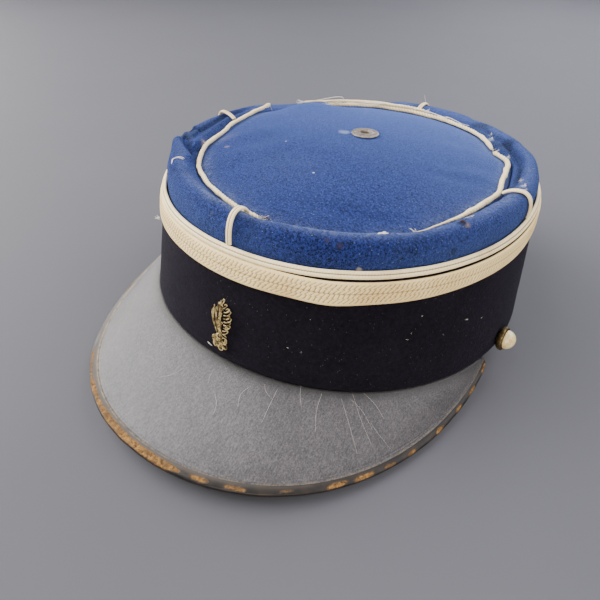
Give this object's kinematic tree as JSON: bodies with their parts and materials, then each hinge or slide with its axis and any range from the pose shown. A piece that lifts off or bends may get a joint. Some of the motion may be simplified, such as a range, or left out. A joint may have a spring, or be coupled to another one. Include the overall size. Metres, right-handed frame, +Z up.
{
  "type": "kepi cap",
  "caption": "Low kepi with a dark felt band, royal blue rolled crown, cream braid and cords, black leather peak, side buttons and a bullion ornament.",
  "frame": {"origin": "on the surface that the cap rests on, under the middle of its bounding box", "axes": "+Z up with the cap at rest, leaning back on its band and peak; the front faces -Y and the wearer's left is +X"},
  "size_m": [0.1978, 0.2522, 0.0814],
  "materials": {
    "dark_felt": "dense dark navy felt, matt, with lint",
    "royal_blue_wool": "royal blue wool cloth, matt nap, worn pale along the edge",
    "cream_braid": "flat woven braid, soft sheen",
    "cream_cord": "twisted cord, soft sheen",
    "black_leather": "old varnished leather, satin, fine cracks",
    "worn_binding_leather": "rolled leather, varnish rubbed off in patches",
    "ivory_button": "polished ivory-coloured dome",
    "tarnished_brass": "tarnished, satin",
    "aged_vent_metal": "grey tarnish, satin",
    "gold_bullion": "coiled metal thread, tarnished gold"
  },
  "bodies": {
    "root": {"band": "dark_felt", "braid": "cream_braid", "upper_soutache": "cream_cord", "turban": "royal_blue_wool", "top_disc": "royal_blue_wool", "top_piping_left": "cream_cord", "top_piping_front": "cream_cord", "top_piping_right": "cream_cord", "top_piping_back": "cream_cord", "top_piping_loose_end": "cream_cord", "upright_front": "cream_cord", "upright_left": "cream_cord", "upright_back": "cream_cord", "upright_right": "cream_cord", "vent": "aged_vent_metal", "peak": "black_leather", "peak_binding": "worn_binding_leather", "button_left_rim": "tarnished_brass", "button_left_dome": "ivory_button", "button_right_rim": "tarnished_brass", "button_right_dome": "ivory_button", "badge_ball": "gold_bullion", "badge_flame": "gold_bullion"}
  },
  "joints": []
}
